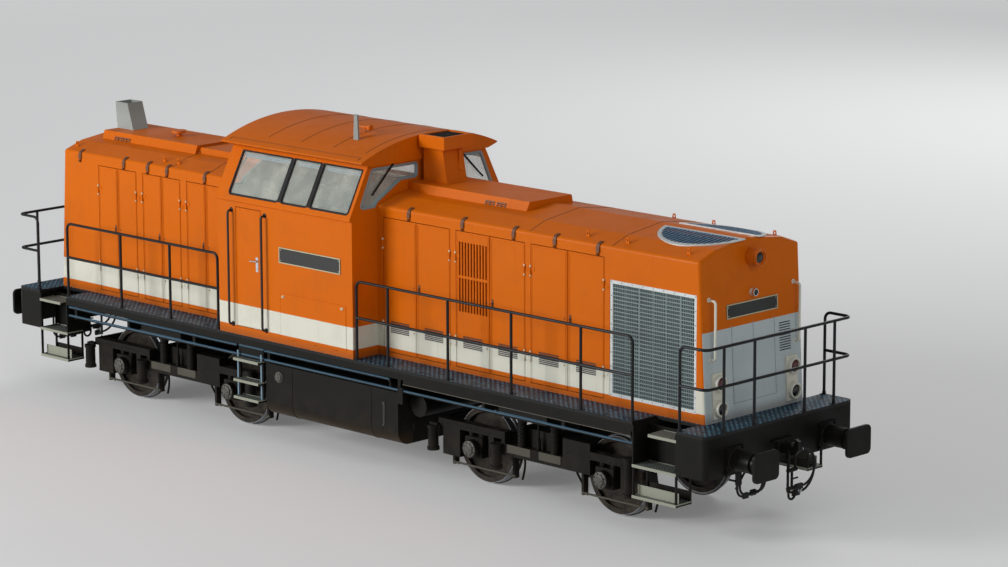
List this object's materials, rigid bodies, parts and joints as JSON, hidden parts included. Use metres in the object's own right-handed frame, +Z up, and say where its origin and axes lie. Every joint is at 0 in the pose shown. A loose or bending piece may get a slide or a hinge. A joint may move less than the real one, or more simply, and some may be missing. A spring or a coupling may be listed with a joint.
{
  "type": "centre-cab diesel locomotive",
  "caption": "Four-axle diesel locomotive with an off-centre cab between two hoods, bogies, railings, steps and opening doors.",
  "frame": {"origin": "on the ground under the middle of the locomotive, level with the lowest point of the wheel flanges", "axes": "+X along the locomotive towards the radiator end, +Y to its left, +Z up"},
  "size_m": [14.24, 2.948, 4.5579],
  "materials": {
    "body_paint": "semi-gloss orange with a white waist stripe",
    "wheel_steel": "dark worn steel",
    "rail_paint": "black gloss",
    "deck_plate": "chequer plate",
    "grille_metal": "matt",
    "engine_paint": "satin",
    "window_glass": "clear, slightly green",
    "cab_plastic": "matt grey",
    "lamp_body": "white rims",
    "grey_paint": "satin grey",
    "frame_paint": "satin black",
    "hose_rubber": "matt"
  },
  "bodies": {
    "root": {"brake_hoses": "hose_rubber", "buffers": "frame_paint", "cab_glass": "window_glass", "cab_interior": "cab_plastic", "cab_roof": "body_paint", "cab_shell": "body_paint", "couplings": "frame_paint", "deck": "deck_plate", "engine": "engine_paint", "fan_guard": "grille_metal", "fuel_tank": "frame_paint", "grab_rails": "lamp_body", "hood_front": "body_paint", "hood_front_roof": "body_paint", "hood_rear": "body_paint", "hood_rear_roof": "body_paint", "lamps": "lamp_body", "radiator_grilles": "grille_metal", "railing_front": "rail_paint", "railing_left": "rail_paint", "railing_rear": "rail_paint", "railing_right": "rail_paint", "roof_fittings": "grey_paint", "steps": "frame_paint", "underframe": "frame_paint"},
    "bogie_front": {"bogie_frame_front": "frame_paint", "running_gear_front": "frame_paint"},
    "bogie_rear": {"bogie_frame_rear": "frame_paint", "running_gear_rear": "frame_paint"},
    "wheelset_1": {"wheelset_1": "wheel_steel"},
    "wheelset_2": {"wheelset_2": "wheel_steel"},
    "wheelset_3": {"wheelset_3": "wheel_steel"},
    "wheelset_4": {"wheelset_4": "wheel_steel"},
    "fan": {"fan": "grille_metal"},
    "door_front_left_1a": {"door_front_left_1a": "body_paint"},
    "door_front_left_1b": {"door_front_left_1b": "body_paint"},
    "door_front_right_1a": {"door_front_right_1a": "body_paint"},
    "door_front_right_1b": {"door_front_right_1b": "body_paint"},
    "door_front_left_2a": {"door_front_left_2a": "body_paint"},
    "door_front_left_2b": {"door_front_left_2b": "body_paint"},
    "door_front_right_2a": {"door_front_right_2a": "body_paint"},
    "door_front_right_2b": {"door_front_right_2b": "body_paint"},
    "door_front_left_3a": {"door_front_left_3a": "body_paint"},
    "door_front_left_3b": {"door_front_left_3b": "body_paint"},
    "door_front_right_3a": {"door_front_right_3a": "body_paint"},
    "door_front_right_3b": {"door_front_right_3b": "body_paint"},
    "door_rear_left_1a": {"door_rear_left_1a": "body_paint"},
    "door_rear_left_1b": {"door_rear_left_1b": "body_paint"},
    "door_rear_right_1a": {"door_rear_right_1a": "body_paint"},
    "door_rear_right_1b": {"door_rear_right_1b": "body_paint"},
    "door_rear_left_2a": {"door_rear_left_2a": "body_paint"},
    "door_rear_left_2b": {"door_rear_left_2b": "body_paint"},
    "door_rear_right_2a": {"door_rear_right_2a": "body_paint"},
    "door_rear_right_2b": {"door_rear_right_2b": "body_paint"},
    "door_rear_left_3a": {"door_rear_left_3a": "body_paint"},
    "door_rear_left_3b": {"door_rear_left_3b": "body_paint"},
    "door_rear_right_3a": {"door_rear_right_3a": "body_paint"},
    "door_rear_right_3b": {"door_rear_right_3b": "body_paint"},
    "cab_door_left": {"cab_door_left": "body_paint"},
    "cab_door_right": {"cab_door_right": "body_paint"}
  },
  "joints": [
    {"name": "bogie_front_yaw", "type": "hinge", "parent": "root", "child": "bogie_front", "pos_m": [3.5, 0, 1.128], "axis": [0, 0, 1], "range_deg": [-3, 3]},
    {"name": "bogie_rear_yaw", "type": "hinge", "parent": "root", "child": "bogie_rear", "pos_m": [-3.5, 0, 1.128], "axis": [0, 0, 1], "range_deg": [-3, 3]},
    {"name": "wheelset_1_spin", "type": "hinge", "parent": "bogie_front", "child": "wheelset_1", "pos_m": [4.65, 0, 0.528], "axis": [0, 1, 0], "continuous": true},
    {"name": "wheelset_2_spin", "type": "hinge", "parent": "bogie_front", "child": "wheelset_2", "pos_m": [2.35, 0, 0.528], "axis": [0, 1, 0], "continuous": true},
    {"name": "wheelset_3_spin", "type": "hinge", "parent": "bogie_rear", "child": "wheelset_3", "pos_m": [-2.35, 0, 0.528], "axis": [0, 1, 0], "continuous": true},
    {"name": "wheelset_4_spin", "type": "hinge", "parent": "bogie_rear", "child": "wheelset_4", "pos_m": [-4.65, 0, 0.528], "axis": [0, 1, 0], "continuous": true},
    {"name": "fan_spin", "type": "hinge", "parent": "root", "child": "fan", "pos_m": [5.45, 0, 3.278], "axis": [0, 0, 1], "continuous": true},
    {"name": "door_front_left_1a_swing", "type": "hinge", "parent": "root", "child": "door_front_left_1a", "pos_m": [0.555, 0.942, 1.508], "axis": [0, 0, 1], "range_deg": [0, 40]},
    {"name": "door_front_left_1b_swing", "type": "hinge", "parent": "root", "child": "door_front_left_1b", "pos_m": [1.795, 0.942, 1.508], "axis": [0, 0, -1], "range_deg": [0, 40]},
    {"name": "door_front_right_1a_swing", "type": "hinge", "parent": "root", "child": "door_front_right_1a", "pos_m": [0.555, -0.942, 1.508], "axis": [0, 0, -1], "range_deg": [0, 40]},
    {"name": "door_front_right_1b_swing", "type": "hinge", "parent": "root", "child": "door_front_right_1b", "pos_m": [1.795, -0.942, 1.508], "axis": [0, 0, 1], "range_deg": [0, 40]},
    {"name": "door_front_left_2a_swing", "type": "hinge", "parent": "root", "child": "door_front_left_2a", "pos_m": [1.905, 0.942, 1.508], "axis": [0, 0, 1], "range_deg": [0, 40]},
    {"name": "door_front_left_2b_swing", "type": "hinge", "parent": "root", "child": "door_front_left_2b", "pos_m": [3.138, 0.942, 1.508], "axis": [0, 0, -1], "range_deg": [0, 40]},
    {"name": "door_front_right_2a_swing", "type": "hinge", "parent": "root", "child": "door_front_right_2a", "pos_m": [1.905, -0.942, 1.508], "axis": [0, 0, -1], "range_deg": [0, 40]},
    {"name": "door_front_right_2b_swing", "type": "hinge", "parent": "root", "child": "door_front_right_2b", "pos_m": [3.138, -0.942, 1.508], "axis": [0, 0, 1], "range_deg": [0, 40]},
    {"name": "door_front_left_3a_swing", "type": "hinge", "parent": "root", "child": "door_front_left_3a", "pos_m": [3.244, 0.942, 1.508], "axis": [0, 0, 1], "range_deg": [0, 40]},
    {"name": "door_front_left_3b_swing", "type": "hinge", "parent": "root", "child": "door_front_left_3b", "pos_m": [4.504, 0.942, 1.508], "axis": [0, 0, -1], "range_deg": [0, 40]},
    {"name": "door_front_right_3a_swing", "type": "hinge", "parent": "root", "child": "door_front_right_3a", "pos_m": [3.244, -0.942, 1.508], "axis": [0, 0, -1], "range_deg": [0, 40]},
    {"name": "door_front_right_3b_swing", "type": "hinge", "parent": "root", "child": "door_front_right_3b", "pos_m": [4.504, -0.942, 1.508], "axis": [0, 0, 1], "range_deg": [0, 40]},
    {"name": "door_rear_left_1a_swing", "type": "hinge", "parent": "root", "child": "door_rear_left_1a", "pos_m": [-2.585, 0.942, 1.508], "axis": [0, 0, -1], "range_deg": [0, 70]},
    {"name": "door_rear_left_1b_swing", "type": "hinge", "parent": "root", "child": "door_rear_left_1b", "pos_m": [-3.382, 0.942, 1.508], "axis": [0, 0, 1], "range_deg": [0, 70]},
    {"name": "door_rear_right_1a_swing", "type": "hinge", "parent": "root", "child": "door_rear_right_1a", "pos_m": [-2.585, -0.942, 1.508], "axis": [0, 0, 1], "range_deg": [0, 70]},
    {"name": "door_rear_right_1b_swing", "type": "hinge", "parent": "root", "child": "door_rear_right_1b", "pos_m": [-3.382, -0.942, 1.508], "axis": [0, 0, -1], "range_deg": [0, 70]},
    {"name": "door_rear_left_2a_swing", "type": "hinge", "parent": "root", "child": "door_rear_left_2a", "pos_m": [-3.52, 0.942, 1.508], "axis": [0, 0, -1], "range_deg": [0, 70]},
    {"name": "door_rear_left_2b_swing", "type": "hinge", "parent": "root", "child": "door_rear_left_2b", "pos_m": [-4.323, 0.942, 1.508], "axis": [0, 0, 1], "range_deg": [0, 70]},
    {"name": "door_rear_right_2a_swing", "type": "hinge", "parent": "root", "child": "door_rear_right_2a", "pos_m": [-3.52, -0.942, 1.508], "axis": [0, 0, 1], "range_deg": [0, 70]},
    {"name": "door_rear_right_2b_swing", "type": "hinge", "parent": "root", "child": "door_rear_right_2b", "pos_m": [-4.323, -0.942, 1.508], "axis": [0, 0, -1], "range_deg": [0, 70]},
    {"name": "door_rear_left_3a_swing", "type": "hinge", "parent": "root", "child": "door_rear_left_3a", "pos_m": [-4.462, 0.942, 1.508], "axis": [0, 0, -1], "range_deg": [0, 70]},
    {"name": "door_rear_left_3b_swing", "type": "hinge", "parent": "root", "child": "door_rear_left_3b", "pos_m": [-5.288, 0.942, 1.508], "axis": [0, 0, 1], "range_deg": [0, 70]},
    {"name": "door_rear_right_3a_swing", "type": "hinge", "parent": "root", "child": "door_rear_right_3a", "pos_m": [-4.462, -0.942, 1.508], "axis": [0, 0, 1], "range_deg": [0, 70]},
    {"name": "door_rear_right_3b_swing", "type": "hinge", "parent": "root", "child": "door_rear_right_3b", "pos_m": [-5.288, -0.942, 1.508], "axis": [0, 0, -1], "range_deg": [0, 70]},
    {"name": "cab_door_left_swing", "type": "hinge", "parent": "root", "child": "cab_door_left", "pos_m": [-1.845, 1.326, 1.568], "axis": [0, 0, -1], "range_deg": [0, 90]},
    {"name": "cab_door_right_swing", "type": "hinge", "parent": "root", "child": "cab_door_right", "pos_m": [-1.845, -1.326, 1.568], "axis": [0, 0, 1], "range_deg": [0, 90]}
  ]
}
